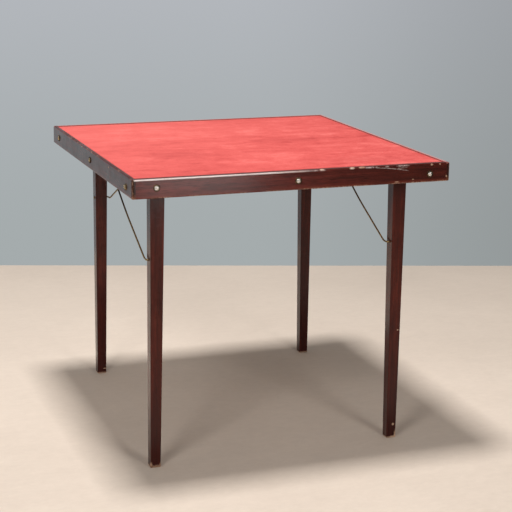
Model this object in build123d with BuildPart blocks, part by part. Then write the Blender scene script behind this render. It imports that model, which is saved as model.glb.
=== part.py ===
from build123d import *
import math
import os

os.makedirs("parts", exist_ok=True)

# Folding card table with a baize top, standing open on its four legs.
# +Z is up, +X runs right along the front side and +Y runs from the front to the back.
# The origin is on the floor, under the middle of the square top.

# ---------------------------------------------------------------- driving dimensions, mm
TABLE_SIDE = 800.0          # square top over the fascia boards
TABLE_HEIGHT = 710.0        # floor to the top edge of the fascia

FASCIA_THICK = 9.0          # stained boards round the four sides
FASCIA_HIGH = 46.0
FASCIA_TOP_ROUND = 4.2      # worn upper edge
FASCIA_LOW_ROUND = 2.6
CORNER_ROUND = 5.5          # upright corners of the top

FELT_THICK = 1.2
FELT_BELOW_RIM = 1.6        # the baize lies a little under the fascia's upper edge
PANEL_THICK = 8.0

RAIL_THICK = 14.0           # hidden frame inside the fascia
RAIL_BOTTOM_GAP = 0.5       # the frame stops short of the fascia's lower edge
BATTEN_WIDE = 22.0

LEG_TOP_WIDE = 34.5         # across the table, at the pivot
LEG_TOP_DEEP = 32.0         # front to back, at the pivot
LEG_FOOT_WIDE = 25.0        # the outer side face is straight and the inner one tapers
LEG_FOOT_DEEP = 24.0
LEG_EDGE_ROUND = 1.6
LEG_FOOT_CHAMFER = 1.1
LEG_END_INSET = 43.0        # leg axis behind the outer face of the front or back fascia
OUTER_LEG_INSET = 68.0      # pivot middle inside the outer face of the side fascia
INNER_LEG_INSET = 120.0     # the same for the legs that fold beside the outer ones

PIVOT_DROP = 28.0           # pivot below the fascia's upper edge
BOLT_DIAMETER = 6.0
PIN_CLEARANCE = 0.05        # radial, in every turning hole
HINGE_GAP = 0.2             # free space each side of a leg on its bolt
WASHER_THICK = 1.2
WASHER_DIAMETER = 15.0
BOLT_HEAD_ACROSS = 10.0
BOLT_HEAD_HIGH = 4.0
BOLT_BITE = 18.0            # depth of the bolt in its block
BLOCK_LONG = 36.0           # hinge block, front to back

WIRE_DIAMETER = 4.0
WIRE_PIVOT_DROP = 171.0     # wire hole below the leg pivot
WIRE_OFFSET = 22.0          # wire centre line beside the leg axis
WIRE_BEND = 4.5
WIRE_FOOT_RUN = 18.0        # level run beside the leg before the wire climbs
WIRE_KNEE_BEND = 30.0
WIRE_BELLY_REACH = 169.0    # the shallow bend, measured from the leg axis
WIRE_BELLY_RISE = 73.0
WIRE_BELLY_BEND = 900.0
WIRE_TOP_DROP = 17.0        # sliding end below the fascia's upper edge
WIRE_PIN_LONG = 14.0        # sliding end, sideways into the channel
WIRE_END_HEAD = 7.0         # hammered head on the far side of the leg
WIRE_END_HEAD_HIGH = 1.6

CHANNEL_SHEET = 1.2
CHANNEL_DEEP = 13.0
CHANNEL_SIDE_GAP = 1.0      # wire to the near wall
CHANNEL_END_GAP = 1.5       # pin end to the far wall
CHANNEL_FRONT_REACH = 19.0  # sheet in front of the pin, for a screw
CHANNEL_BACK_REACH = 14.0   # sheet behind the pin of a folded leg
STOP_GAP = 0.3              # pin to the stop tab, leg open
STOP_SIDE_GAP = 1.5         # wire to the inner edge of the stop tab

SMALL_SCREW_SHANK = 2.6
SMALL_SCREW_LONG = 6.0      # in the panel
SMALL_SCREW_HEAD = 6.0
SMALL_SCREW_HEAD_HIGH = 1.6
SMALL_SCREW_SLOT = 0.8

SCREW_SHANK = 4.2           # fascia screws
SCREW_LONG = 19.0           # from the fascia's face to the tip
SCREW_TIP = 4.0
SCREW_HEAD = 12.6
SCREW_HEAD_HIGH = 3.1
SCREW_SLOT_WIDE = 1.3
SCREW_SLOT_DEEP = 1.3
CUP_DIAMETER = 16.6
CUP_HIGH = 2.0
CUP_FLOOR = 0.5             # sheet under the screw head, and height of the outer edge
CUP_WALL = 0.4              # lip round the head

# ---------------------------------------------------------------- worked-out dimensions
HALF = TABLE_SIDE / 2
INSIDE = HALF - FASCIA_THICK                    # inner face of the fascia
RAIL_INSIDE = INSIDE - RAIL_THICK               # inner face of the hidden frame
FASCIA_BOTTOM = TABLE_HEIGHT - FASCIA_HIGH
FELT_TOP = TABLE_HEIGHT - FELT_BELOW_RIM
PANEL_TOP = FELT_TOP - FELT_THICK
PANEL_BOTTOM = PANEL_TOP - PANEL_THICK
RAIL_BOTTOM = FASCIA_BOTTOM + RAIL_BOTTOM_GAP
RAIL_HIGH = PANEL_BOTTOM - RAIL_BOTTOM
SCREW_LEVEL = FASCIA_BOTTOM + FASCIA_HIGH / 2

PIVOT_LEVEL = TABLE_HEIGHT - PIVOT_DROP
LEG_REACH = HALF - LEG_END_INSET                # leg axis from the middle of the table
WIRE_LOW_LEVEL = PIVOT_LEVEL - WIRE_PIVOT_DROP
WIRE_TOP_LEVEL = TABLE_HEIGHT - WIRE_TOP_DROP
WIRE_RADIUS = WIRE_DIAMETER / 2
WIRE_SPAN = math.hypot(LEG_REACH, WIRE_TOP_LEVEL - WIRE_LOW_LEVEL)
FOLDED_PIN = WIRE_PIVOT_DROP + math.sqrt(WIRE_SPAN ** 2 - (WIRE_TOP_LEVEL - PIVOT_LEVEL) ** 2)


def leg_width_at(level):
    """Width of a tapering leg, across the table, at a height above the floor."""
    return LEG_FOOT_WIDE + (LEG_TOP_WIDE - LEG_FOOT_WIDE) * level / PIVOT_LEVEL


def save(part, label):
    part.label = label
    export_step(part, f"parts/{label}.step")


# ---------------------------------------------------------------- the four corners
# Each leg unit is drawn in its own plane: local +Y points to the middle of the table and
# the brace wire is on the local -X side. The back units are the front ones turned round.
# block_side says on which local X side of the leg the hinge block stands. That is its outer
# side, towards the nearer side board.
def corner_plane(x, y):
    facing = 1 if y < 0 else -1
    return Plane(origin=(x, y, 0), x_dir=(facing, 0, 0), z_dir=(0, 0, 1))


CORNERS = {
    "front_left": (corner_plane(-HALF + OUTER_LEG_INSET, -LEG_REACH), -1, OUTER_LEG_INSET),
    "front_right": (corner_plane(HALF - INNER_LEG_INSET, -LEG_REACH), 1, INNER_LEG_INSET),
    "back_left": (corner_plane(-HALF + INNER_LEG_INSET, LEG_REACH), 1, INNER_LEG_INSET),
    "back_right": (corner_plane(HALF - OUTER_LEG_INSET, LEG_REACH), -1, OUTER_LEG_INSET),
}


def across(base, x, y=0.0, z=0.0):
    """Plane that looks along a unit's local +X, with local Y and Z as its own x and y."""
    origin = base.from_local_coords((x, y, z))
    return Plane(origin=origin, x_dir=base.y_dir, z_dir=base.x_dir)


# ---------------------------------------------------------------- legs
def make_leg(base, side):
    foot_shift = side * (LEG_TOP_WIDE - LEG_FOOT_WIDE) / 2
    with BuildPart() as leg:
        with BuildSketch(base):
            with Locations((foot_shift, 0)):
                Rectangle(LEG_FOOT_WIDE, LEG_FOOT_DEEP)
        with BuildSketch(base.offset(PIVOT_LEVEL)):
            Rectangle(LEG_TOP_WIDE, LEG_TOP_DEEP)
        loft()
        with BuildSketch(across(base, 0, 0, PIVOT_LEVEL)):
            Circle(LEG_TOP_DEEP / 2)
        extrude(amount=LEG_TOP_WIDE / 2, both=True)
        long_edges = leg.edges().filter_by(lambda edge: edge.length > PIVOT_LEVEL / 2)
        fillet(long_edges, LEG_EDGE_ROUND)
        foot_edges = leg.faces().sort_by(Axis.Z)[0].edges()
        chamfer(foot_edges, LEG_FOOT_CHAMFER)
        with BuildSketch(across(base, 0, 0, PIVOT_LEVEL)):
            Circle(BOLT_DIAMETER / 2 + PIN_CLEARANCE)
        extrude(amount=LEG_TOP_WIDE, both=True, mode=Mode.SUBTRACT)
        with BuildSketch(across(base, 0, 0, WIRE_LOW_LEVEL)):
            Circle(WIRE_RADIUS + PIN_CLEARANCE)
        extrude(amount=LEG_TOP_WIDE, both=True, mode=Mode.SUBTRACT)
    return leg.part


# ---------------------------------------------------------------- brace wires
def make_brace_wire(base, side):
    taper = LEG_TOP_WIDE - leg_width_at(WIRE_LOW_LEVEL)
    leg_face = LEG_TOP_WIDE / 2 - (taper if side < 0 else 0)
    head_start = leg_face + HINGE_GAP
    belly_level = WIRE_LOW_LEVEL + WIRE_BELLY_RISE
    route = [
        (head_start, 0, WIRE_LOW_LEVEL),
        (-WIRE_OFFSET, 0, WIRE_LOW_LEVEL),
        (-WIRE_OFFSET, WIRE_FOOT_RUN, WIRE_LOW_LEVEL),
        (-WIRE_OFFSET, WIRE_BELLY_REACH, belly_level),
        (-WIRE_OFFSET, LEG_REACH, WIRE_TOP_LEVEL),
        (-WIRE_OFFSET - WIRE_PIN_LONG, LEG_REACH, WIRE_TOP_LEVEL),
    ]
    bends = [WIRE_BEND, WIRE_KNEE_BEND, WIRE_BELLY_BEND, WIRE_BEND]
    with BuildPart() as wire:
        with BuildLine():
            FilletPolyline(*[base.from_local_coords(point) for point in route], radius=bends)
        with BuildSketch(across(base, head_start, 0, WIRE_LOW_LEVEL)):
            Circle(WIRE_RADIUS)
        sweep()
        with BuildSketch(across(base, head_start, 0, WIRE_LOW_LEVEL)):
            Circle(WIRE_END_HEAD / 2)
        extrude(amount=WIRE_END_HEAD_HIGH)
        rings = wire.edges().filter_by(GeomType.CIRCLE)
        head_rims = rings.filter_by(lambda ring: math.isclose(ring.radius, WIRE_END_HEAD / 2))
        chamfer(head_rims, WIRE_END_HEAD_HIGH / 4)
    return wire.part


# ---------------------------------------------------------------- guide channels
CHANNEL_NEAR = WIRE_OFFSET - WIRE_RADIUS - CHANNEL_SIDE_GAP - CHANNEL_SHEET
CHANNEL_FAR = WIRE_OFFSET + WIRE_PIN_LONG + CHANNEL_END_GAP + CHANNEL_SHEET
CHANNEL_START = LEG_REACH - CHANNEL_FRONT_REACH
CHANNEL_END = FOLDED_PIN + CHANNEL_BACK_REACH
STOP_FACE = LEG_REACH - WIRE_RADIUS - STOP_GAP
SCREW_LINE = (WIRE_OFFSET + WIRE_PIN_LONG + WIRE_OFFSET) / 2
CHANNEL_MIDDLE = (CHANNEL_START + CHANNEL_END) / 2
CHANNEL_SCREW_STEP = (CHANNEL_END - CHANNEL_START) / 2 - SMALL_SCREW_HEAD
CHANNEL_SCREWS = [
    (-SCREW_LINE, CHANNEL_MIDDLE - CHANNEL_SCREW_STEP),
    (-SCREW_LINE, CHANNEL_MIDDLE),
    (-SCREW_LINE, CHANNEL_MIDDLE + CHANNEL_SCREW_STEP),
]


def make_guide_channel(base):
    wide = CHANNEL_FAR - CHANNEL_NEAR
    long = CHANNEL_END - CHANNEL_START
    middle = (-(CHANNEL_FAR + CHANNEL_NEAR) / 2, CHANNEL_MIDDLE)
    stop_wide = CHANNEL_FAR - WIRE_OFFSET - WIRE_RADIUS - STOP_SIDE_GAP
    roof = base.offset(PANEL_BOTTOM)
    with BuildPart() as channel:
        with BuildSketch(roof):
            with Locations(middle):
                Rectangle(wide, long)
        extrude(amount=-CHANNEL_DEEP)
        with BuildSketch(base.offset(PANEL_BOTTOM - CHANNEL_SHEET)):
            with Locations(middle):
                Rectangle(wide - 2 * CHANNEL_SHEET, long)
        extrude(amount=-CHANNEL_DEEP, mode=Mode.SUBTRACT)
        with BuildSketch(base.offset(PANEL_BOTTOM - CHANNEL_SHEET)):
            with Locations((-CHANNEL_FAR + stop_wide / 2, STOP_FACE - CHANNEL_SHEET / 2)):
                Rectangle(stop_wide, CHANNEL_SHEET)
        extrude(amount=CHANNEL_SHEET - CHANNEL_DEEP)
        with BuildSketch(roof):
            with Locations(*CHANNEL_SCREWS):
                Circle(SMALL_SCREW_SHANK / 2)
        extrude(amount=-CHANNEL_SHEET, mode=Mode.SUBTRACT)
    return channel.part


def make_channel_screws(base):
    head_top = PANEL_BOTTOM - CHANNEL_SHEET
    with BuildPart() as screws:
        with BuildSketch(base.offset(head_top)):
            with Locations(*CHANNEL_SCREWS):
                Circle(SMALL_SCREW_HEAD / 2)
        extrude(amount=-SMALL_SCREW_HEAD_HIGH)
        lower_rims = screws.faces().group_by(Axis.Z)[0].edges()
        chamfer(lower_rims, SMALL_SCREW_HEAD_HIGH / 4)
        with BuildSketch(base.offset(head_top)):
            with Locations(*CHANNEL_SCREWS):
                Circle(SMALL_SCREW_SHANK / 2)
        extrude(amount=CHANNEL_SHEET + SMALL_SCREW_LONG)
        with BuildSketch(base.offset(head_top - SMALL_SCREW_HEAD_HIGH)):
            with Locations(*CHANNEL_SCREWS):
                Rectangle(SMALL_SCREW_HEAD * 2, SMALL_SCREW_SLOT)
        extrude(amount=SMALL_SCREW_SLOT, mode=Mode.SUBTRACT)
    return screws.part


# ---------------------------------------------------------------- leg pivots
WASHER_START = LEG_TOP_WIDE / 2 + HINGE_GAP
BLOCK_START = WASHER_START + WASHER_THICK


def make_hinge_block(base, side, inset):
    block_wide = inset - (HALF - RAIL_INSIDE) - BLOCK_START
    block_front = RAIL_INSIDE - LEG_REACH
    middle = (side * (BLOCK_START + block_wide / 2), BLOCK_LONG / 2 - block_front)
    with BuildPart() as block:
        with BuildSketch(base.offset(RAIL_BOTTOM)):
            with Locations(middle):
                Rectangle(block_wide, BLOCK_LONG)
        extrude(amount=RAIL_HIGH)
        with BuildSketch(across(base, side * BLOCK_START, 0, PIVOT_LEVEL)):
            Circle(BOLT_DIAMETER / 2)
        extrude(amount=side * BOLT_BITE, mode=Mode.SUBTRACT)
    return block.part


def make_pivot_bolt(base, side):
    with BuildPart() as bolt:
        with BuildSketch(across(base, -side * BLOCK_START, 0, PIVOT_LEVEL)):
            RegularPolygon(BOLT_HEAD_ACROSS / 2, 6, major_radius=False)
        extrude(amount=-side * BOLT_HEAD_HIGH)
        with BuildSketch(across(base, -side * BLOCK_START, 0, PIVOT_LEVEL)):
            Circle(BOLT_DIAMETER / 2)
        extrude(amount=side * (2 * BLOCK_START + BOLT_BITE))
    return bolt.part


def make_pivot_washers(base, side):
    with BuildPart() as washers:
        for start in (side * WASHER_START, -side * BLOCK_START):
            with BuildSketch(across(base, start, 0, PIVOT_LEVEL)):
                Circle(WASHER_DIAMETER / 2)
                Circle(BOLT_DIAMETER / 2, mode=Mode.SUBTRACT)
            extrude(amount=side * WASHER_THICK)
    return washers.part


for corner, (plane, block_side, side_inset) in CORNERS.items():
    save(make_leg(plane, block_side), f"leg_{corner}")
    save(make_brace_wire(plane, block_side), f"brace_wire_{corner}")
    save(make_guide_channel(plane), f"guide_channel_{corner}")
    save(make_channel_screws(plane), f"channel_screws_{corner}")
    save(make_hinge_block(plane, block_side, side_inset), f"hinge_block_{corner}")
    save(make_pivot_bolt(plane, block_side), f"pivot_bolt_{corner}")
    save(make_pivot_washers(plane, block_side), f"pivot_washers_{corner}")


# ---------------------------------------------------------------- playing surface
with BuildPart() as top_panel:
    with BuildSketch(Plane.XY.offset(PANEL_BOTTOM)):
        Rectangle(2 * INSIDE, 2 * INSIDE)
    extrude(amount=PANEL_THICK)
    for plane, _, _ in CORNERS.values():
        with BuildSketch(plane.offset(PANEL_BOTTOM)):
            with Locations(*CHANNEL_SCREWS):
                Circle(SMALL_SCREW_SHANK / 2)
        extrude(amount=SMALL_SCREW_LONG, mode=Mode.SUBTRACT)
save(top_panel.part, "top_panel")

with BuildPart() as felt_cover:
    with BuildSketch(Plane.XY.offset(PANEL_TOP)):
        Rectangle(2 * INSIDE, 2 * INSIDE)
    extrude(amount=FELT_THICK)
save(felt_cover.part, "felt_cover")


# ---------------------------------------------------------------- the four sides
# A side plane lies in the outer face of one side, with +X along the side, +Y up and +Z
# pointing out of the table.
SIDES = {
    "front": Plane(origin=(0, -HALF, 0), x_dir=(1, 0, 0), z_dir=(0, -1, 0)),
    "back": Plane(origin=(0, HALF, 0), x_dir=(-1, 0, 0), z_dir=(0, 1, 0)),
    "left": Plane(origin=(-HALF, 0, 0), x_dir=(0, -1, 0), z_dir=(-1, 0, 0)),
    "right": Plane(origin=(HALF, 0, 0), x_dir=(0, 1, 0), z_dir=(1, 0, 0)),
}

# The screws were set by eye: each one's place along its side and above the board's middle.
SCREWS_BY_EYE = {
    "front": [(-342, 1), (3, -1), (346, -3)],
    "back": [(-344, -1), (-4, 0), (341, 1)],
    "left": [(-328, 0), (14, 0), (348, -3)],
    "right": [(-345, 1), (2, -2), (339, 0)],
}
SCREW_PLACES = {
    name: [(along, SCREW_LEVEL + rise) for along, rise in places]
    for name, places in SCREWS_BY_EYE.items()
}
SCREW_TURNS = [28, 74, -35]     # slot of each screw from level, degrees

# Middle and size in plan of each board: the left and right boards run through to the corners.
STRIP_MIDDLE = HALF - FASCIA_THICK / 2
FASCIA_PLANS = {
    "front": ((0, -STRIP_MIDDLE), (2 * INSIDE, FASCIA_THICK)),
    "back": ((0, STRIP_MIDDLE), (2 * INSIDE, FASCIA_THICK)),
    "left": ((-STRIP_MIDDLE, 0), (FASCIA_THICK, TABLE_SIDE)),
    "right": ((STRIP_MIDDLE, 0), (FASCIA_THICK, TABLE_SIDE)),
}
RAIL_MIDDLE = INSIDE - RAIL_THICK / 2
RAIL_PLANS = {
    "front": ((0, -RAIL_MIDDLE), (2 * INSIDE, RAIL_THICK)),
    "back": ((0, RAIL_MIDDLE), (2 * INSIDE, RAIL_THICK)),
    "left": ((-RAIL_MIDDLE, 0), (RAIL_THICK, 2 * RAIL_INSIDE)),
    "right": ((RAIL_MIDDLE, 0), (RAIL_THICK, 2 * RAIL_INSIDE)),
}


def make_fascia(side, plan, places):
    """One board, cut from a ring with rounded corners and rounded upper and lower edges."""
    middle, size = plan
    foot = Plane.XY.offset(FASCIA_BOTTOM)
    with BuildPart() as fascia:
        with BuildSketch(foot):
            RectangleRounded(TABLE_SIDE, TABLE_SIDE, CORNER_ROUND)
        extrude(amount=FASCIA_HIGH)
        fillet(fascia.faces().sort_by(Axis.Z)[-1].edges(), FASCIA_TOP_ROUND)
        fillet(fascia.faces().sort_by(Axis.Z)[0].edges(), FASCIA_LOW_ROUND)
        with BuildSketch(foot):
            with Locations(middle):
                Rectangle(*size)
        extrude(amount=FASCIA_HIGH, mode=Mode.INTERSECT)
        with BuildSketch(side):
            with Locations(*places):
                Circle(SCREW_SHANK / 2)
        extrude(amount=-FASCIA_THICK, mode=Mode.SUBTRACT)
    return fascia.part


def screw_plane(side, place):
    """Plane through a screw's axis, with its x pointing out of the table."""
    return Plane(origin=side.from_local_coords((*place, 0)), x_dir=side.z_dir, z_dir=side.x_dir)


def screw_axis(side, place):
    return Axis(side.from_local_coords((*place, 0)), side.z_dir)


def make_blank_screws(side, places):
    """The three fascia screws of a side, before their slots are cut."""
    dome_radius = ((SCREW_HEAD / 2) ** 2 + SCREW_HEAD_HIGH ** 2) / (2 * SCREW_HEAD_HIGH)
    crown = (CUP_FLOOR + SCREW_HEAD_HIGH, 0)
    brim = (CUP_FLOOR, SCREW_HEAD / 2)
    with BuildPart() as blanks:
        for place in places:
            with BuildSketch(screw_plane(side, place)):
                with BuildLine():
                    Polyline(
                        crown,
                        (-SCREW_LONG, 0),
                        (-SCREW_LONG + SCREW_TIP, SCREW_SHANK / 2),
                        (CUP_FLOOR, SCREW_SHANK / 2),
                        brim,
                    )
                    RadiusArc(brim, crown, dome_radius)
                make_face()
            revolve(axis=screw_axis(side, place))
    return blanks.part


def make_rail(side, plan, places):
    """One rail of the hidden frame, with the fascia screws' pilot holes."""
    middle, size = plan
    blanks = make_blank_screws(side, places)
    with BuildPart() as rail:
        with BuildSketch(Plane.XY.offset(RAIL_BOTTOM)):
            with Locations(middle):
                Rectangle(*size)
        extrude(amount=RAIL_HIGH)
        add(blanks, mode=Mode.SUBTRACT)
    return rail.part


def make_fascia_screws(side, places):
    slot_level = CUP_FLOOR + SCREW_HEAD_HIGH - SCREW_SLOT_DEEP
    blanks = make_blank_screws(side, places)
    with BuildPart() as screws:
        add(blanks)
        with BuildSketch(side.offset(slot_level)):
            for place, turn in zip(places, SCREW_TURNS):
                with Locations(Location(place, turn)):
                    Rectangle(SCREW_HEAD * 2, SCREW_SLOT_WIDE)
        extrude(amount=SCREW_HEAD_HIGH, mode=Mode.SUBTRACT)
    return screws.part


def make_cup_washers(side, places):
    """Turned cups under the screw heads: a low cone from the rim up to the head."""
    with BuildPart() as cups:
        for place in places:
            with BuildSketch(screw_plane(side, place)):
                with BuildLine():
                    Polyline(
                        (0, SCREW_SHANK / 2),
                        (0, CUP_DIAMETER / 2),
                        (CUP_FLOOR, CUP_DIAMETER / 2),
                        (CUP_HIGH, SCREW_HEAD / 2 + CUP_WALL),
                        (CUP_HIGH, SCREW_HEAD / 2),
                        (CUP_FLOOR, SCREW_HEAD / 2),
                        (CUP_FLOOR, SCREW_SHANK / 2),
                        close=True,
                    )
                make_face()
            revolve(axis=screw_axis(side, place))
    return cups.part


for name, side_plane in SIDES.items():
    screw_places = SCREW_PLACES[name]
    save(make_fascia(side_plane, FASCIA_PLANS[name], screw_places), f"{name}_fascia")
    save(make_rail(side_plane, RAIL_PLANS[name], screw_places), f"{name}_rail")
    save(make_fascia_screws(side_plane, screw_places), f"fascia_screws_{name}")
    save(make_cup_washers(side_plane, screw_places), f"cup_washers_{name}")

with BuildPart() as centre_batten:
    with BuildSketch(Plane.XY.offset(RAIL_BOTTOM)):
        Rectangle(BATTEN_WIDE, 2 * RAIL_INSIDE)
    extrude(amount=RAIL_HIGH)
save(centre_batten.part, "centre_batten")
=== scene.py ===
import math

import bmesh
import bpy
from mathutils import Matrix, Vector, noise


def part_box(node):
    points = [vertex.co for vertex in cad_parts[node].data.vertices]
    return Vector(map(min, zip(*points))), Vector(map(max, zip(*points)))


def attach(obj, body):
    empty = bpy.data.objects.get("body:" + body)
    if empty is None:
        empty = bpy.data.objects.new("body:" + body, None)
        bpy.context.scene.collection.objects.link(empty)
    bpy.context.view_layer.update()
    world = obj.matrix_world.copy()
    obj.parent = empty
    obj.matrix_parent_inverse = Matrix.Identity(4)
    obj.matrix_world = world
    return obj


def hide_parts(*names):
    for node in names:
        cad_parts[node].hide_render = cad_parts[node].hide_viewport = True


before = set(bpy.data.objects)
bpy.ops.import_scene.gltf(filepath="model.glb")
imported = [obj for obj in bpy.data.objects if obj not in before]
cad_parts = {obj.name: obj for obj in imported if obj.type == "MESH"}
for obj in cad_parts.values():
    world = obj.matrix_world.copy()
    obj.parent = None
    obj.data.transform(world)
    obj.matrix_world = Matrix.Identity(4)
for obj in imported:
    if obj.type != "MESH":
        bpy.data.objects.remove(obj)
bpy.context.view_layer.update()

# A square folding card table: red baize in a frame of dark stained boards, on four tapered
# legs with steel brace wires. Everything is in metres, +Z up, the origin on the floor.


# ---------------------------------------------------------------- camera
CAMERA_PLACE = Vector((-1.2437, -3.4385, 1.3337))
CAMERA_YAW = math.radians(20.619)       # clockwise from +Y, seen from above
CAMERA_PITCH = math.radians(14.2)       # downwards
CAMERA_ROLL = math.radians(0.864)
CAMERA_LENS = 100.52                    # mm
CAMERA_SENSOR = 36.0                    # mm
CAMERA_REACH = 60.0


def make_camera():
    forward = Vector((
        math.sin(CAMERA_YAW) * math.cos(CAMERA_PITCH),
        math.cos(CAMERA_YAW) * math.cos(CAMERA_PITCH),
        -math.sin(CAMERA_PITCH),
    ))
    level = forward.cross(Vector((0, 0, 1))).normalized()
    upright = level.cross(forward)
    right = level * math.cos(CAMERA_ROLL) + upright * math.sin(CAMERA_ROLL)
    up = upright * math.cos(CAMERA_ROLL) - level * math.sin(CAMERA_ROLL)
    data = bpy.data.cameras.new("camera")
    data.sensor_width = CAMERA_SENSOR
    data.lens = CAMERA_LENS
    data.clip_end = CAMERA_REACH
    camera = bpy.data.objects.new("camera", data)
    turn = Matrix((right, up, -forward)).transposed().to_4x4()
    camera.matrix_world = Matrix.Translation(CAMERA_PLACE) @ turn
    bpy.context.collection.objects.link(camera)
    bpy.context.scene.camera = camera


# ---------------------------------------------------------------- lamps
LAMP_COLOUR = (1, 0.988, 0.972)
WIDE = 180                              # degrees of spread
NARROW = 50

# name: place, the point it faces, its sides, watts, spread
LAMPS = {
    "overhead_lamp": ((-0.23, 0.15, 3.9), (-0.23, 0.15, 0), (0.60, 0.60), 137, WIDE),
    "front_lamp": ((0.70, -3.3, 2.3), (0, 0, 0.4), (0.75, 0.75), 28, WIDE),
    "left_lamp": ((-1.9, -2.1, 2.9), (0, 0, 0.3), (0.8, 0.8), 31, WIDE),
    "low_lamp": ((0.50, -2.75, 0.32), (-0.22, -0.4, 0.7), (0.46, 0.32), 0.27, NARROW),
}


def make_lamps():
    """One lamp overhead, two that fill, and a faint low one for the sheen on the front board."""
    for name, (place, target, sides, power, spread) in LAMPS.items():
        data = bpy.data.lights.new(name, "AREA")
        data.spread = math.radians(spread)
        data.shape = "RECTANGLE"
        data.size, data.size_y = sides
        data.energy = power
        data.color = LAMP_COLOUR
        lamp = bpy.data.objects.new(name, data)
        lamp.location = place
        facing = Vector(target) - Vector(place)
        lamp.rotation_euler = facing.to_track_quat("-Z", "Y").to_euler()
        lamp.visible_camera = False
        bpy.context.collection.objects.link(lamp)


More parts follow.
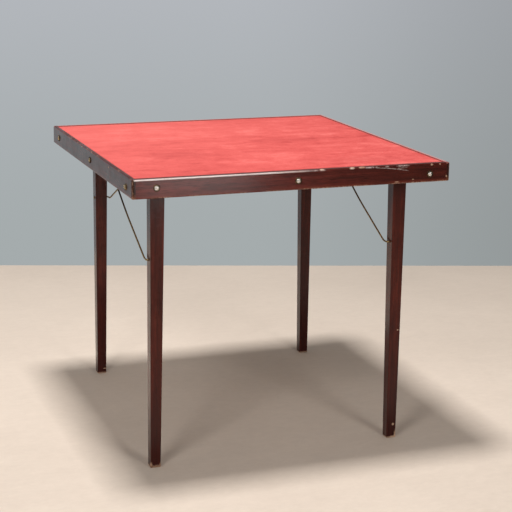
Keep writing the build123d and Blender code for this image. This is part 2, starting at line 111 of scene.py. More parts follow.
# ---------------------------------------------------------------- node helpers
class Nodes:
    """A material's node tree with short calls for the nodes used here."""

    def __init__(self, name, shift=(0, 0, 0)):
        """shift moves the material's noises, so that no two woods are alike."""
        self.material = bpy.data.materials.new(name)
        self.material.use_nodes = True
        self.tree = self.material.node_tree
        self.bsdf = self.tree.nodes["Principled BSDF"]
        self.shift = shift

    def add(self, kind, **settings):
        node = self.tree.nodes.new(kind)
        for key, value in settings.items():
            setattr(node, key, value)
        return node

    def put(self, socket, value):
        if isinstance(value, bpy.types.NodeSocket):
            self.tree.links.new(value, socket)
        elif socket.type == "RGBA":
            socket.default_value = (*value, 1.0)
        else:
            socket.default_value = value

    def shader(self, **values):
        for key, value in values.items():
            self.put(self.bsdf.inputs[key.replace("_", " ")], value)

    def place(self, scale=(1, 1, 1), shift=(0, 0, 0), turn=(0, 0, 0)):
        """Position in the object, stretched, turned and moved."""
        mapping = self.add("ShaderNodeMapping")
        self.put(mapping.inputs["Vector"], self.add("ShaderNodeTexCoord").outputs["Object"])
        mapping.inputs["Scale"].default_value = scale
        mapping.inputs["Location"].default_value = shift
        mapping.inputs["Rotation"].default_value = turn
        return mapping.outputs["Vector"]

    def axes(self):
        split = self.add("ShaderNodeSeparateXYZ")
        self.put(split.inputs[0], self.add("ShaderNodeTexCoord").outputs["Object"])
        return split.outputs

    def noise(self, vector, scale=1.0, detail=3.0, rough=0.5, twist=0.0):
        node = self.add("ShaderNodeTexNoise")
        self.put(node.inputs["Vector"], vector)
        node.inputs["Scale"].default_value = scale
        node.inputs["Detail"].default_value = detail
        node.inputs["Roughness"].default_value = rough
        node.inputs["Distortion"].default_value = twist
        return node.outputs["Fac"]

    def clouds(self, scale, **settings):
        """Noise that is the same in every direction."""
        return self.noise(self.place((1, 1, 1), self.shift), scale=scale, **settings)

    def fibres(self, grain, scale, **settings):
        """Noise drawn out along the grain."""
        stretch = tuple(scale * part for part in GRAIN_STRETCH[grain])
        return self.noise(self.place(stretch, self.shift), **settings)

    def ramp(self, value, *stops):
        """stops are (position, colour)."""
        node = self.add("ShaderNodeValToRGB")
        elements = node.color_ramp.elements
        while len(elements) < len(stops):
            elements.new(0.5)
        for element, (position, colour) in zip(elements, stops):
            element.position = position
            element.color = (*colour, 1.0)
        self.put(node.inputs["Fac"], value)
        return node.outputs["Color"]

    def remap(self, value, low, high, to_low=0.0, to_high=1.0):
        """A smooth step from to_low at low to to_high at high; low may be the larger of the two."""
        node = self.add("ShaderNodeMapRange", interpolation_type="SMOOTHSTEP")
        self.put(node.inputs["Value"], value)
        node.inputs["From Min"].default_value = low
        node.inputs["From Max"].default_value = high
        node.inputs["To Min"].default_value = to_low
        node.inputs["To Max"].default_value = to_high
        return node.outputs["Result"]

    def calc(self, operation, first, second=0.0):
        node = self.add("ShaderNodeMath", operation=operation)
        self.put(node.inputs[0], first)
        self.put(node.inputs[1], second)
        return node.outputs[0]

    def size(self, value):
        """The value without its sign."""
        return self.calc("ABSOLUTE", value)

    def less(self, first, second):
        """What is left of first when second is taken from it."""
        return self.calc("SUBTRACT", first, second)

    def sum(self, *values):
        result = values[0]
        for value in values[1:]:
            result = self.calc("ADD", result, value)
        return result

    def times(self, *values):
        result = values[0]
        for value in values[1:]:
            result = self.calc("MULTIPLY", result, value)
        return result

    def most(self, *values):
        """The largest of the values."""
        result = values[0]
        for value in values[1:]:
            result = self.calc("MAXIMUM", result, value)
        return result

    def mix(self, amount, first, second):
        node = self.add("ShaderNodeMix", data_type="RGBA")
        self.put(node.inputs[0], amount)
        self.put(node.inputs[6], first)
        self.put(node.inputs[7], second)
        return node.outputs[2]

    def bump(self, height, distance, strength=1.0, normal=None):
        node = self.add("ShaderNodeBump")
        node.inputs["Strength"].default_value = strength
        node.inputs["Distance"].default_value = distance
        self.put(node.inputs["Height"], height)
        if normal is not None:
            self.put(node.inputs["Normal"], normal)
        return node.outputs["Normal"]

    def sharp_edges(self, radius, low=0.02, high=0.12):
        """1 on sharp or tightly rounded edges and 0 on flat faces."""
        bevel = self.add("ShaderNodeBevel", samples=8)
        bevel.inputs["Radius"].default_value = radius
        dot = self.add("ShaderNodeVectorMath", operation="DOT_PRODUCT")
        self.put(dot.inputs[0], bevel.outputs["Normal"])
        self.put(dot.inputs[1], self.add("ShaderNodeNewGeometry").outputs["Normal"])
        return self.remap(self.less(1.0, dot.outputs["Value"]), low, high)

    def spot(self, place, half_sides, ragged, grow=0.0):
        """A small mark with a ragged edge: 1 in its middle, 0 well outside its half sides."""
        scale = tuple(1 / part for part in half_sides)
        shift = tuple(-where / part for where, part in zip(place, half_sides))
        length = self.add("ShaderNodeVectorMath", operation="LENGTH")
        self.put(length.inputs[0], self.place(scale, shift))
        edge = self.sum(length.outputs["Value"], self.times(ragged, SPOT_RAGGED))
        return self.remap(edge, SPOT_INSIDE + grow, SPOT_OUTSIDE + grow, 1.0, 0.0)


SPOT_RAGGED = 1.3                       # how far the noise pushes a spot's edge about
SPOT_INSIDE, SPOT_OUTSIDE = 1.25, 1.85
GRAIN_STRETCH = {"x": (0.04, 1, 1), "y": (1, 0.04, 1), "z": (1, 1, 0.04)}


# ---------------------------------------------------------------- stained wood
DARK_STAIN = (0.034, 0.0050, 0.0036)
MIDDLE_STAIN = (0.072, 0.0105, 0.0065)
LIGHT_STAIN = (0.140, 0.020, 0.0105)
PORE_STAIN = (0.014, 0.003, 0.0025)
RED_STAIN_AND_HIGHLIGHT = (0.175, 0.028, 0.022)
HEM_STAIN = (0.160, 0.030, 0.017)
DIRTY_STAIN = (0.052, 0.013, 0.009)
SHADE_AND_FOOT_STAIN = (0.030, 0.0060, 0.0050)
BAIZE_STAIN = (0.46, 0.17, 0.15)
END_GRAIN = (0.016, 0.0052, 0.0040)
RUBBED_END_GRAIN = (0.22, 0.085, 0.030)
BARE_WOOD = (0.56, 0.37, 0.26)
DIRTY_WOOD = (0.20, 0.09, 0.048)
PALE_SCRATCH = (0.50, 0.40, 0.375)
# colour of a painted highlight on the front board's upper edge
PAINTED_EDGE_HIGHLIGHT = (0.80, 0.70, 0.68)


def wood_stain(mat, grain):
    """Streaked mahogany stain with darker clouds and fine pores. Gives the colour and a height."""
    streaks = mat.fibres(grain, 105.0, detail=6.0, rough=0.62, twist=0.4)
    bands = mat.fibres(grain, 28.0, detail=3.0, rough=0.5, twist=0.9)
    pores = mat.fibres(grain, 900.0, detail=2.0, rough=0.5)
    clouds = mat.clouds(6.0, detail=4.0, rough=0.6, twist=0.5)
    figure = mat.sum(mat.times(streaks, 0.62), mat.times(bands, 0.38))
    stain = mat.ramp(figure, (0.36, DARK_STAIN), (0.50, MIDDLE_STAIN), (0.66, LIGHT_STAIN))
    stain = mat.mix(mat.remap(clouds, 0.45, 0.72, 0.0, 0.6), stain, DARK_STAIN)
    stain = mat.mix(mat.remap(pores, 0.36, 0.44, 0.6, 0.0), stain, PORE_STAIN)
    height = mat.sum(mat.times(streaks, 0.5), mat.times(pores, 0.5))
    return stain, height


def ragged_noise(mat):
    return mat.clouds(260.0, detail=5.0, rough=0.75)


def varnish(mat, stain, height, bare, scratch=0.0, dull=0.0):
    """Satin varnish over the stain, gone where the wood is bare, pale where it is scratched."""
    grime = mat.clouds(31.0, detail=6.0, rough=0.68)
    smears = mat.clouds(9.0, detail=3.0, rough=0.5, twist=1.2)
    damage = mat.most(bare, scratch)
    bare_tone = mat.mix(mat.remap(grime, 0.45, 0.75), BARE_WOOD, DIRTY_WOOD)
    colour = mat.mix(bare, stain, bare_tone)
    colour = mat.mix(scratch, colour, PALE_SCRATCH)
    haze = mat.remap(smears, 0.35, 0.7, 0.10, 0.26)
    rough = mat.sum(haze, mat.remap(grime, 0.3, 0.75, 0.10, 0.22), mat.times(damage, 0.25))
    relief = mat.less(height, mat.times(damage, 0.9))
    mat.shader(
        Base_Color=colour,
        Roughness=rough,
        Normal=mat.bump(relief, 0.00016, 0.9, mat.bump(smears, 0.0006, 0.35)),
        Coat_Weight=mat.less(0.95, mat.times(mat.most(damage, dull), 0.85)),
        Coat_Roughness=0.16,
        Coat_IOR=1.27,
        Specular_IOR_Level=0.06,
    )


# ---------------------------------------------------------------- edge boards
BOARD_LOW, BOARD_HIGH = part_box("front_fascia")
FACE = -BOARD_LOW[1]                    # outer faces of the boards, from the middle of the table
RIM = BOARD_HIGH[2]                     # upper edge of the boards
HEM = BOARD_LOW[2]                      # lower edge of the boards

# Chips in the boards: place and half sides.
BOARD_CHIPS = [
    ((0.350, -FACE, RIM - 0.0035), (0.0032, 0.004, 0.0024)),
    ((0.372, -FACE, RIM - 0.0032), (0.0026, 0.004, 0.0022)),
    ((0.391, -FACE, RIM - 0.0338), (0.0020, 0.004, 0.0030)),
    ((0.062, -FACE, RIM - 0.0010), (0.0060, 0.006, 0.0026)),
    ((0.140, -FACE, RIM - 0.0014), (0.0070, 0.006, 0.0030)),
    ((0.166, -FACE, RIM - 0.0012), (0.0085, 0.006, 0.0024)),
    ((0.301, -FACE, HEM + 0.009), (0.0030, 0.004, 0.0014)),
    ((0.258, -FACE, HEM + 0.005), (0.0060, 0.004, 0.0012)),
    ((-FACE, -0.195, RIM - 0.0080), (0.004, 0.0040, 0.0026)),
    ((-FACE, 0.070, RIM - 0.0030), (0.004, 0.0030, 0.0020)),
    ((FACE, -0.120, RIM - 0.0040), (0.004, 0.0045, 0.0024)),
    ((FACE, 0.260, RIM - 0.0240), (0.004, 0.0024, 0.0030)),
    ((-0.210, FACE, RIM - 0.0025), (0.0060, 0.004, 0.0024)),
    ((0.180, FACE, HEM + 0.006), (0.0050, 0.004, 0.0016)),
]


def scrape(mat, x, z, half_long, slope, bow, half_wide):
    """A bowed scrape on the front board's face, with its middle at x and z."""
    across, inwards, upwards = mat.axes()
    run = mat.less(across, x)
    line = mat.sum(mat.times(run, slope), mat.times(run, run, bow))
    off = mat.less(mat.less(upwards, z), line)
    skips = mat.noise(mat.place((150.0, 1, 700.0)), detail=3.0, rough=0.6)
    band = mat.remap(mat.size(off), 0.4 * half_wide, half_wide, 1.0, 0.0)
    ends = mat.remap(mat.size(run), 0.75 * half_long, half_long, 1.0, 0.0)
    front = mat.remap(inwards, 0.01 - FACE, 0.02 - FACE, 1.0, 0.0)
    return mat.times(band, ends, front, mat.remap(skips, 0.36, 0.56))


class Board:
    """The values that the masks of a board share, from its material's nodes."""

    def __init__(self, mat):
        self.mat = mat
        self.ragged = ragged_noise(mat)
        self.patches = mat.clouds(13.0, detail=3.0, rough=0.6)
        self.x, self.y, self.z = mat.axes()
        out_x, self.out_y = mat.size(self.x), mat.size(self.y)
        self.outward = mat.most(out_x, self.out_y)
        self.inward = mat.calc("MINIMUM", out_x, self.out_y)

    def edge_wear(self):
        """Bare wood along the upper outer edge, the lower edge and the upright corners."""
        mat, ragged, patches = self.mat, self.ragged, self.patches
        upper = mat.times(
            mat.remap(self.z, RIM - 0.0055, RIM - 0.0015),
            mat.remap(self.outward, FACE - 0.0050, FACE - 0.0010),
            mat.remap(ragged, 0.50, 0.60),
            mat.remap(patches, 0.53, 0.64),
        )
        lower = mat.times(
            mat.remap(self.z, HEM + 0.0042, HEM + 0.0008),
            mat.remap(ragged, 0.44, 0.56),
            mat.remap(patches, 0.40, 0.60),
        )
        corner = mat.times(
            mat.remap(self.inward, FACE - 0.0060, FACE - 0.0012),
            mat.remap(ragged, 0.46, 0.60),
            mat.remap(patches, 0.34, 0.58),
        )
        return mat.most(lower, mat.times(corner, 0.8), mat.times(upper, 0.75))

    def front_edge_line(self, below_rim, reach, core):
        """A line along the upper edge: 1 within core of its height and 0 beyond reach."""
        off = self.mat.size(self.mat.less(self.z, RIM - below_rim))
        return self.mat.remap(off, reach, core)

    def rubbed_edge(self):
        """The front board's right half has lost the varnish of its upper edge in short stretches."""
        mat = self.mat
        dashes = mat.noise(mat.place((42.0, 1, 1), (0.4, 0, 0)), detail=2.0, rough=0.5)
        return mat.times(
            mat.remap(self.x, -0.03, 0.02),
            mat.remap(self.x, 0.30, 0.27),
            mat.remap(self.y, 0.02 - FACE, -FACE),
            self.front_edge_line(0.0026, 0.0022, 0.0008),
            mat.remap(dashes, 0.47, 0.56),
            mat.remap(self.ragged, 0.36, 0.52),
        )

    def painted_highlight_edge(self):
        """Painted highlight: a pale line along the left half's upper edge, where a lamp would glint."""
        mat = self.mat
        return mat.times(
            mat.remap(self.x, 0.09, -0.10),
            mat.remap(self.x, 0.003 - FACE, 0.008 - FACE),
            mat.remap(self.y, 0.0022 - FACE, 0.0012 - FACE),
            self.front_edge_line(0.0024, 0.0023, 0.0012),
            mat.remap(self.patches, 0.30, 0.50, 0.72, 1.0),
        )

    def tint_and_highlight_front(self, stain, height):
        """The front board's stain is redder over most of its length, and lighter towards its left end as a
        painted highlight.
        """
        mat = self.mat
        tint_and_painted_light = mat.times(
            mat.remap(self.x, 0.42, -0.34),
            mat.remap(self.y, 0.01, 0.0),
            mat.remap(height, 0.42, 0.58, 0.15, 1.0),
            mat.remap(self.patches, 0.3, 0.6, 0.6, 0.9),
        )
        return mat.mix(tint_and_painted_light, stain, RED_STAIN_AND_HIGHLIGHT)

    def show_end_grain(self, stain):
        """End grain shows where the side boards run through to the front and the back."""
        mat = self.mat
        end = mat.remap(self.out_y, FACE - 0.0022, FACE - 0.0004)
        stain = mat.mix(mat.times(end, 0.75), stain, END_GRAIN)
        low = mat.remap(self.z, HEM + 0.016, HEM + 0.002)
        rub = mat.times(end, low, mat.remap(self.ragged, 0.30, 0.55))
        return mat.mix(mat.times(rub, 0.65), stain, RUBBED_END_GRAIN)

    def colour_far_rim(self, stain):
        """On the far boards the rim is rubbed, and coloured by the baize."""
        mat = self.mat
        far = mat.most(
            mat.remap(self.x, FACE - 0.011, FACE - 0.010),
            mat.remap(self.y, FACE - 0.011, FACE - 0.010),
        )
        top = mat.remap(self.z, RIM - 0.0024, RIM - 0.0016)
        red = mat.times(far, top, mat.remap(self.ragged, 0.30, 0.50, 0.7, 1.0))
        return mat.mix(red, stain, BAIZE_STAIN)

    def rim_dirt(self):
        """On the near boards the rim is dull with dirt."""
        mat = self.mat
        near = mat.most(
            mat.remap(self.x, 0.011 - FACE, 0.010 - FACE),
            mat.remap(self.y, 0.011 - FACE, 0.010 - FACE),
        )
        top = mat.remap(self.z, RIM - 0.0030, RIM - 0.0016)
        return mat.times(near, top, mat.remap(self.outward, FACE - 0.0004, FACE - 0.0018))

    def redden_hem(self, stain):
        """The stain is thinner and redder along the lower edge."""
        mat = self.mat
        low = mat.remap(self.z, HEM + 0.011, HEM + 0.003)
        thin = mat.times(low, mat.remap(self.patches, 0.35, 0.6, 0.15, 0.5))
        return mat.mix(thin, stain, HEM_STAIN)


def make_board_wood(name, grain, shift):
    mat = Nodes(name, shift)
    stain, height = wood_stain(mat, grain)
    board = Board(mat)
    if grain == "x":
        # Redder stain on the front board, with a painted highlight towards its left end.
        stain = board.tint_and_highlight_front(stain, height)
    else:
        stain = board.show_end_grain(stain)
    stain = board.colour_far_rim(stain)
    dirt = board.rim_dirt()
    stain = mat.mix(mat.times(dirt, 0.8), stain, DIRTY_STAIN)
    # Painted highlight: a pale line on the front board's upper edge, over the stain.
    stain = mat.mix(mat.times(board.painted_highlight_edge(), 0.9), stain, PAINTED_EDGE_HIGHLIGHT)
    stain = board.redden_hem(stain)
    chips = [mat.spot(place, half_sides, board.ragged) for place, half_sides in BOARD_CHIPS]
    bare = mat.most(board.edge_wear(), *chips)
    scratch = mat.most(
        board.rubbed_edge(),
        scrape(mat, 0.243, RIM - 0.0078, half_long=0.048, slope=-0.125, bow=-0.75, half_wide=0.0014),
        scrape(mat, 0.272, RIM - 0.0075, half_long=0.014, slope=0.02, bow=0.0, half_wide=0.0011),
    )
    varnish(mat, stain, height, mat.times(bare, 0.8), mat.times(scratch, 0.8), dirt)
    return mat.material


# ---------------------------------------------------------------- legs
# Chips in the legs: place and half sides. Most are at the feet of the front legs.
LEG_CHIPS = [
    ((0.291, -0.372, 0.286), (0.0024, 0.006, 0.0018)),
    ((0.289, -0.370, 0.036), (0.0033, 0.006, 0.0036)),
    ((0.2985, -0.370, 0.008), (0.0060, 0.020, 0.0150)),
    ((0.292, -0.372, 0.000), (0.0150, 0.012, 0.0062)),
    ((-0.337, -0.372, 0.000), (0.0170, 0.012, 0.0066)),
    ((-0.349, -0.372, 0.005), (0.0046, 0.012, 0.0100)),
    ((-0.3245, -0.372, 0.005), (0.0040, 0.012, 0.0080)),
    ((-0.276, 0.345, 0.014), (0.0060, 0.006, 0.0012)),
]
LEG_EDGE_RADIUS = 0.0026


def make_leg_wood(name, shift):
    mat = Nodes(name, shift)
    stain, height = wood_stain(mat, "z")
    ragged = ragged_noise(mat)
    z = mat.axes()[2]
    # Painted shade: darker and browner just under the table top. Also darker and browner towards the foot.
    shade_and_dark_foot = mat.most(mat.remap(z, 0.56, 0.66, 0.0, 0.55), mat.remap(z, 0.42, 0.02, 0.0, 0.5))
    stain = mat.mix(shade_and_dark_foot, stain, SHADE_AND_FOOT_STAIN)

    edges = mat.sharp_edges(LEG_EDGE_RADIUS)
    patches = mat.noise(mat.place((1, 1, 0.5), shift), scale=17.0, detail=3.0, rough=0.6)
    rubbed = mat.times(edges, mat.remap(ragged, 0.50, 0.62), mat.remap(patches, 0.56, 0.68))
    sole = mat.times(mat.remap(z, 0.0052, 0.0012), mat.remap(ragged, 0.30, 0.46))
    kicks = mat.times(edges, mat.remap(z, 0.024, 0.004), mat.remap(ragged, 0.42, 0.54))
    chips = [mat.spot(place, half_sides, ragged) for place, half_sides in LEG_CHIPS]
    bare = mat.most(mat.times(rubbed, 0.5), mat.times(sole, 0.85), mat.times(kicks, 0.85), *chips)
    varnish(mat, stain, height, bare)
    return mat.material


# ---------------------------------------------------------------- plain wood under the top
PLY_LIGHT, PLY_DARK = (0.50, 0.34, 0.20), (0.31, 0.185, 0.095)
PINE_LIGHT, PINE_DARK = (0.47, 0.30, 0.165), (0.27, 0.145, 0.068)
STAIN_DEPTH = 0.45                      # of the dark tone, in old water stains


def make_pale_wood(name, grain, light, dark, shift):
    mat = Nodes(name, shift)
    rings = mat.fibres(grain, 46.0, detail=3.0, rough=0.5, twist=1.6)
    fibres = mat.fibres(grain, 620.0, detail=3.0, rough=0.6)
    stains = mat.clouds(7.0, detail=5.0, rough=0.6, twist=0.6)
    colour = mat.ramp(rings, (0.34, dark), (0.60, light))
    colour = mat.mix(mat.remap(fibres, 0.35, 0.65, 0.35, 0.0), colour, dark)
    stained = tuple(STAIN_DEPTH * part for part in dark)
    colour = mat.mix(mat.remap(stains, 0.5, 0.75, 0.0, 0.55), colour, stained)
    mat.shader(
        Base_Color=colour,
        Roughness=mat.remap(fibres, 0.3, 0.7, 0.62, 0.82),
        Normal=mat.bump(mat.sum(mat.times(rings, 0.4), mat.times(fibres, 0.6)), 0.00022),
        Specular_IOR_Level=0.3,
    )
    return mat.material


# ---------------------------------------------------------------- metals
def make_metal(name, clean, tarnish, rough, tarnish_rough, spread, dull_above=None):
    """Worn metal with fine scratches: clean where it is rubbed, dull in patches.

    A larger spread leaves fewer dull patches. Above the height dull_above it is dull all over."""
    mat = Nodes(name)
    patches = mat.clouds(240.0, detail=5.0, rough=0.7, twist=0.4)
    specks = mat.clouds(1500.0, detail=3.0, rough=0.6)
    brushed = mat.place((260, 4200, 900), turn=(0.5, 0.3, 0.8))
    scratches = mat.noise(brushed, detail=2.0, rough=0.6)
    dull = mat.most(
        mat.remap(patches, spread - 0.10, spread + 0.12),
        mat.remap(specks, 0.62, 0.72, 0.0, 0.8),
    )
    if dull_above:
        dull = mat.most(dull, mat.remap(mat.axes()[2], dull_above - 0.06, dull_above + 0.02))
    dull_rough = mat.remap(dull, 0.0, 1.0, rough, tarnish_rough)
    mat.shader(
        Base_Color=mat.mix(dull, clean, tarnish),
        Metallic=mat.less(1.0, mat.times(dull, 0.25)),
        Roughness=mat.sum(dull_rough, mat.times(scratches, 0.12)),
        Normal=mat.bump(mat.sum(scratches, mat.times(dull, -0.6)), 0.00004),
    )
    return mat.material


# ---------------------------------------------------------------- baize
FELT_LOW, FELT_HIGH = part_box("felt_cover")
FELT_CELLS = 132
FELT_EDGE_GAP = 0.0003          # to the boards all round
FELT_EDGE_DROP = 0.00045        # the cut edge is pressed down
FELT_EDGE_RUN = 0.004
FELT_SWELL = 0.00022            # uneven glue and panel under the cloth
FELT_HALF = FELT_HIGH[0] - FELT_EDGE_GAP

FELT_WORN = (0.345, 0.030, 0.029)
FELT_DEEP = (0.480, 0.060, 0.055)
FELT_RED = (0.565, 0.086, 0.078)
FELT_PALE = (0.650, 0.136, 0.121)
FELT_PAINTED_SHEEN = (0.640, 0.135, 0.120)
FELT_RUBBED = (0.33, 0.036, 0.036)
FELT_EDGE_SHADE = (0.20, 0.026, 0.024)
FELT_FRONT_SHADE = (0.11, 0.016, 0.013)
FELT_PIT = (0.30, 0.035, 0.035)
FELT_LINT = (0.78, 0.42, 0.38)

# Where cards and elbows have rubbed the baize darker: x, y, half sides, strength.
FELT_RUBS = [
    (-0.215, -0.125, 0.13, 0.08, 1.0),
    (0.150, 0.020, 0.16, 0.06, 0.6),
    (0.200, -0.300, 0.22, 0.08, 0.7),
]
FELT_RUB_DEPTH = 0.1
FELT_RUB_GROW = -0.3


def felt_height(x, y):
    """Top of the baize over the panel: soft unevenness, pressed down along its cut edges."""
    slow = noise.noise(Vector((x * 5.0, y * 7.0, 0.3)))
    quick = noise.noise(Vector((x * 34.0, y * 26.0, 4.1)))
    swell = FELT_SWELL * (0.7 * slow + 0.3 * quick)
    to_edge = FELT_HALF - max(abs(x), abs(y))
    press = FELT_EDGE_DROP * math.exp(-to_edge / FELT_EDGE_RUN)
    return FELT_HIGH[2] - FELT_SWELL + swell - press


def felt_mesh():
    """A closed sheet: an uneven top on a grid, a flat underside and the cut edge between them."""
    mesh = bmesh.new()
    low = FELT_LOW[0] + FELT_EDGE_GAP
    step = (FELT_HALF - low) / FELT_CELLS
    lines = [low + i * step for i in range(FELT_CELLS + 1)]
    top = [[mesh.verts.new((x, y, felt_height(x, y))) for x in lines] for y in lines]
    under = [[mesh.verts.new((x, y, FELT_LOW[2])) for x in lines] for y in lines]
    for j in range(FELT_CELLS):
        for i in range(FELT_CELLS):
            mesh.faces.new((top[j][i], top[j][i + 1], top[j + 1][i + 1], top[j + 1][i]))
            mesh.faces.new((under[j][i], under[j + 1][i], under[j + 1][i + 1], under[j][i + 1]))
    last = FELT_CELLS
    ring = [(0, i) for i in range(last)] + [(j, last) for j in range(last)]
    ring += [(last, i) for i in range(last, 0, -1)] + [(j, 0) for j in range(last, 0, -1)]
    for (j0, i0), (j1, i1) in zip(ring, ring[1:] + ring[:1]):
        mesh.faces.new((under[j0][i0], under[j1][i1], top[j1][i1], top[j0][i0]))
    for face in mesh.faces:
        face.smooth = True
    data = bpy.data.meshes.new("baize_sheet")
    mesh.to_mesh(data)
    mesh.free()
    return data


def make_baize():
    """Short red nap, faded in broad smears along the table, with rubbed patches and lint."""
    mat = Nodes("red_baize")
    smears = mat.noise(mat.place((2.0, 6.0, 1), (0.2, 0.1, 0)), detail=6.0, rough=0.66, twist=0.8)
    streaks = mat.noise(mat.place((12.0, 60.0, 1), (0.6, 0.3, 0)), detail=5.0, rough=0.68, twist=0.5)
    blotches = mat.noise(mat.place(shift=(1.4, 0.5, 0)), scale=22.0, detail=6.0, rough=0.72, twist=0.6)
    grit = mat.noise(mat.place((1, 1.3, 1), (0.4, 2.5, 0)), scale=130.0, detail=4.0, rough=0.75)
    nap = mat.noise(mat.place(), scale=900.0, detail=3.0, rough=0.6)
    fibres = mat.noise(mat.place((2600.0, 500.0, 1), turn=(0, 0, 0.6)), detail=2.0, rough=0.5, twist=1.5)
    crossed = mat.noise(mat.place((500.0, 2600.0, 1), turn=(0, 0, 0.4)), detail=2.0, rough=0.5, twist=1.5)
    lint = mat.noise(mat.place(shift=(3.0, 0, 0)), scale=330.0, detail=2.0, rough=0.5)
    shade = mat.sum(
        mat.times(smears, 0.38), mat.times(streaks, 0.20), mat.times(blotches, 0.27), mat.times(grit, 0.15),
    )
    colour = mat.ramp(shade, (0.39, FELT_WORN), (0.46, FELT_DEEP), (0.53, FELT_RED), (0.60, FELT_PALE))

    x, y, z = mat.axes()
    # Painted sheen: lighter towards its far left corner.
    tint_and_painted_light = mat.remap(mat.less(mat.times(y, 0.6), x), -0.40, 0.62, 0.0, 0.5)
    colour = mat.mix(tint_and_painted_light, colour, FELT_PAINTED_SHEEN)
    rubs = []
    for middle_x, middle_y, half_x, half_y, strength in FELT_RUBS:
        middle = (middle_x, middle_y, FELT_HIGH[2])
        spot = mat.spot(middle, (half_x, half_y, FELT_RUB_DEPTH), blotches, FELT_RUB_GROW)
        rubs.append(mat.times(spot, strength))
    rubbed = mat.times(mat.most(*rubs), mat.remap(grit, 0.35, 0.6, 0.12, 0.34))
    colour = mat.mix(rubbed, colour, FELT_RUBBED)
    # Painted shade: darker along its edges where it meets the raised boards, and darker still in a band
    # along the front.
    to_edge = mat.less(FELT_HIGH[0], mat.most(mat.size(x), mat.size(y)))
    colour = mat.mix(mat.remap(to_edge, 0.0045, 0.0, 0.0, 0.5), colour, FELT_EDGE_SHADE)
    front_shade = mat.remap(mat.sum(y, FELT_HIGH[1]), 0.0180, 0.0120)
    colour = mat.mix(mat.times(front_shade, 0.8), colour, FELT_FRONT_SHADE)
    colour = mat.mix(mat.remap(nap, 0.35, 0.65, 0.14, 0.0), colour, FELT_PIT)
    colour = mat.mix(mat.remap(lint, 0.70, 0.76, 0.0, 0.35), colour, FELT_LINT)

    pile = mat.sum(mat.times(nap, 0.5), mat.times(mat.sum(fibres, crossed), 0.35))
    mat.shader(
        Base_Color=colour,
        Roughness=mat.remap(shade, 0.35, 0.65, 0.98, 0.88),
        Normal=mat.bump(pile, 0.00028, 0.8, mat.bump(streaks, 0.0006, 0.3)),
        Specular_IOR_Level=0.12,
        Sheen_Weight=0.10,
        Sheen_Roughness=0.45,
        Sheen_Tint=(1.0, 0.62, 0.58),
    )
    return mat.material


def make_felt_sheet():
    sheet = bpy.data.objects.new("baize_sheet", felt_mesh())
    bpy.context.collection.objects.link(sheet)
    sheet.data.materials.append(make_baize())
    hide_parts("felt_cover")
    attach(sheet, "table")


# ---------------------------------------------------------------- floor
FLOOR_SIDE = 14.0
FLOOR_END = 1.4655                      # its far edge from the middle of the table
FLOOR_TURN = math.radians(-17.41)       # its far edge from the X axis
FLOOR_LIGHT = (0.670, 0.575, 0.490)
FLOOR_DARK = (0.595, 0.505, 0.428)
FLOOR_SHADED = (0.20, 0.17, 0.14)
FLOOR_PAINTED_LIGHT = (0.82, 0.72, 0.63)
FLOOR_PAINTED_SHADE = (0.40, 0.34, 0.28)


def make_floor_material():
    """Pale painted floor, faintly clouded and scuffed. It lets views from below through."""
    mat = Nodes("floor")
    clouds = mat.clouds(2.4, detail=5.0, rough=0.6, twist=0.4)
    scuffs = mat.noise(mat.place((10.0, 22.0, 1)), detail=6.0, rough=0.72)
    mottle = mat.noise(mat.place((1, 1.6, 1)), scale=38.0, detail=5.0, rough=0.7, twist=0.5)
    shade = mat.sum(mat.times(clouds, 0.40), mat.times(scuffs, 0.25), mat.times(mottle, 0.35))
    colour = mat.ramp(shade, (0.38, FLOOR_DARK), (0.62, FLOOR_LIGHT))
    x, y, z = mat.axes()
    # Painted shade towards the far right, painted light at the back and painted shade at the front.
    painted_shade_right = mat.remap(mat.sum(mat.times(x, 0.8), y), 0.9, 2.6, 0.0, 0.26)
    colour = mat.mix(painted_shade_right, colour, FLOOR_SHADED)
    colour = mat.mix(mat.remap(y, -1.6, 1.4, 0.0, 0.22), colour, FLOOR_PAINTED_LIGHT)
    colour = mat.mix(mat.remap(y, -0.6, -1.8, 0.0, 0.10), colour, FLOOR_PAINTED_SHADE)
    mat.shader(
        Base_Color=colour,
        Roughness=0.75,
        Specular_IOR_Level=0.25,
        Normal=mat.bump(scuffs, 0.0005, 0.3),
    )
    clear = mat.add("ShaderNodeBsdfTransparent")
    choose = mat.add("ShaderNodeMixShader")
    mat.put(choose.inputs[0], mat.add("ShaderNodeNewGeometry").outputs["Backfacing"])
    mat.tree.links.new(mat.bsdf.outputs[0], choose.inputs[1])
    mat.tree.links.new(clear.outputs[0], choose.inputs[2])
    mat.tree.links.new(choose.outputs[0], mat.tree.nodes["Material Output"].inputs["Surface"])
    return mat.material


def make_floor():
    half = FLOOR_SIDE / 2
    near = FLOOR_END - FLOOR_SIDE
    corners = [(-half, near), (half, near), (half, FLOOR_END), (-half, FLOOR_END)]
    turn = Matrix.Rotation(FLOOR_TURN, 4, "Z")
    data = bpy.data.meshes.new("floor")
    data.from_pydata([turn @ Vector((x, y, 0)) for x, y in corners], [], [(0, 1, 2, 3)])
    floor = bpy.data.objects.new("floor", data)
    bpy.context.collection.objects.link(floor)
    floor.data.materials.append(make_floor_material())


# ---------------------------------------------------------------- backdrop
WALL_LOW, WALL_HIGH = (0.375, 0.410, 0.416), (0.480, 0.495, 0.535)
DIM_WALL_LOW, DIM_WALL_HIGH = (0.285, 0.308, 0.310), (0.355, 0.370, 0.396)
CEILING = (0.24, 0.225, 0.205)
ROOM_IN_FRONT = (0.15, 0.135, 0.12)


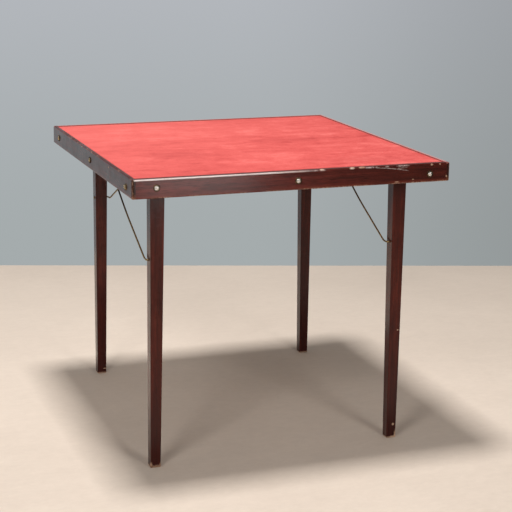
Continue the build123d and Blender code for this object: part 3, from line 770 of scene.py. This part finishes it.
def make_backdrop():
    """A plain blue-grey wall behind, fading to a dimmer, warmer room in front and above."""
    world = bpy.data.worlds.new("room")
    bpy.context.scene.world = world
    world.use_nodes = True
    tree = world.node_tree

    def smooth(value, low, high):
        node = tree.nodes.new("ShaderNodeMapRange")
        node.interpolation_type = "SMOOTHSTEP"
        node.inputs["From Min"].default_value = low
        node.inputs["From Max"].default_value = high
        tree.links.new(value, node.inputs["Value"])
        return node.outputs["Result"]

    def blend(amount, first, second):
        node = tree.nodes.new("ShaderNodeMix")
        node.data_type = "RGBA"
        tree.links.new(amount, node.inputs[0])
        for socket, value in ((node.inputs[6], first), (node.inputs[7], second)):
            if isinstance(value, tuple):
                socket.default_value = (*value, 1.0)
            else:
                tree.links.new(value, socket)
        return node.outputs[2]

    split = tree.nodes.new("ShaderNodeSeparateXYZ")
    tree.links.new(tree.nodes.new("ShaderNodeTexCoord").outputs["Generated"], split.inputs[0])
    x, y, z = split.outputs
    height = smooth(z, -0.25, 0.03)
    wall = blend(height, WALL_LOW, WALL_HIGH)
    wall = blend(smooth(x, 0.33, 0.56), wall, blend(height, DIM_WALL_LOW, DIM_WALL_HIGH))
    room = blend(smooth(z, 0.25, 0.7), wall, CEILING)
    room = blend(smooth(y, 0.25, -0.35), room, ROOM_IN_FRONT)
    tree.links.new(room, tree.nodes["Background"].inputs["Color"])


# ---------------------------------------------------------------- put together
def paint(material, *starts):
    """Give the material to every node whose name begins with one of the starts."""
    for name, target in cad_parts.items():
        if name.startswith(starts):
            target.data.materials.clear()
            target.data.materials.append(material)


def paint_wood():
    paint(make_board_wood("stained_board_x", "x", (0.31, 0.12, 0.70)), "front_fascia", "back_fascia")
    paint(make_board_wood("stained_board_y", "y", (0.90, 0.43, 0.20)), "left_fascia", "right_fascia")
    paint(make_leg_wood("stained_leg", (0.52, 0.81, 0.10)), "leg_")
    paint(make_pale_wood("plywood", "x", PLY_LIGHT, PLY_DARK, (0.2, 0.6, 0.3)), "top_panel")
    pine_x = make_pale_wood("softwood_x", "x", PINE_LIGHT, PINE_DARK, (0.7, 0.2, 0.4))
    pine_y = make_pale_wood("softwood_y", "y", PINE_LIGHT, PINE_DARK, (0.1, 0.5, 0.8))
    pine_z = make_pale_wood("block_wood", "z", PINE_LIGHT, PINE_DARK, (0.4, 0.9, 0.6))
    paint(pine_x, "front_rail", "back_rail")
    paint(pine_y, "left_rail", "right_rail", "centre_batten")
    paint(pine_z, "hinge_block_")


# name: clean colour, tarnish colour, clean and tarnished roughness, spread
METALS = {
    "worn_nickel": ((0.78, 0.76, 0.73), (0.36, 0.31, 0.26), 0.24, 0.45, 0.60),
    "worn_brass": ((0.86, 0.66, 0.36), (0.10, 0.068, 0.038), 0.26, 0.50, 0.52),
    "tarnished_brass": ((0.26, 0.175, 0.085), (0.022, 0.014, 0.009), 0.34, 0.55, 0.46),
    "bolt_steel": ((0.56, 0.56, 0.55), (0.20, 0.17, 0.14), 0.34, 0.55, 0.56),
    "zinc_channel": ((0.54, 0.55, 0.56), (0.33, 0.33, 0.32), 0.36, 0.50, 0.50),
    "tarnished_wire": ((0.46, 0.33, 0.15), (0.050, 0.036, 0.022), 0.32, 0.50, 0.52),
}
METAL_NODES = {
    "worn_nickel": ("fascia_screws_front", "fascia_screws_back"),
    "worn_brass": ("fascia_screws_left", "fascia_screws_right"),
    "tarnished_brass": ("cup_washers_",),
    "bolt_steel": ("pivot_bolt_", "pivot_washers_", "channel_screws_"),
    "zinc_channel": ("guide_channel_",),
    "tarnished_wire": ("brace_wire_",),
}
DULL_ABOVE = {"tarnished_wire": 0.60}   # the wires are dark and dull above this height


def paint_metal():
    for name, starts in METAL_NODES.items():
        paint(make_metal(name, *METALS[name], DULL_ABOVE.get(name)), *starts)


make_camera()
make_floor()
make_backdrop()
make_lamps()
paint_wood()
paint_metal()
make_felt_sheet()
bpy.context.scene.view_settings.view_transform = "Standard"
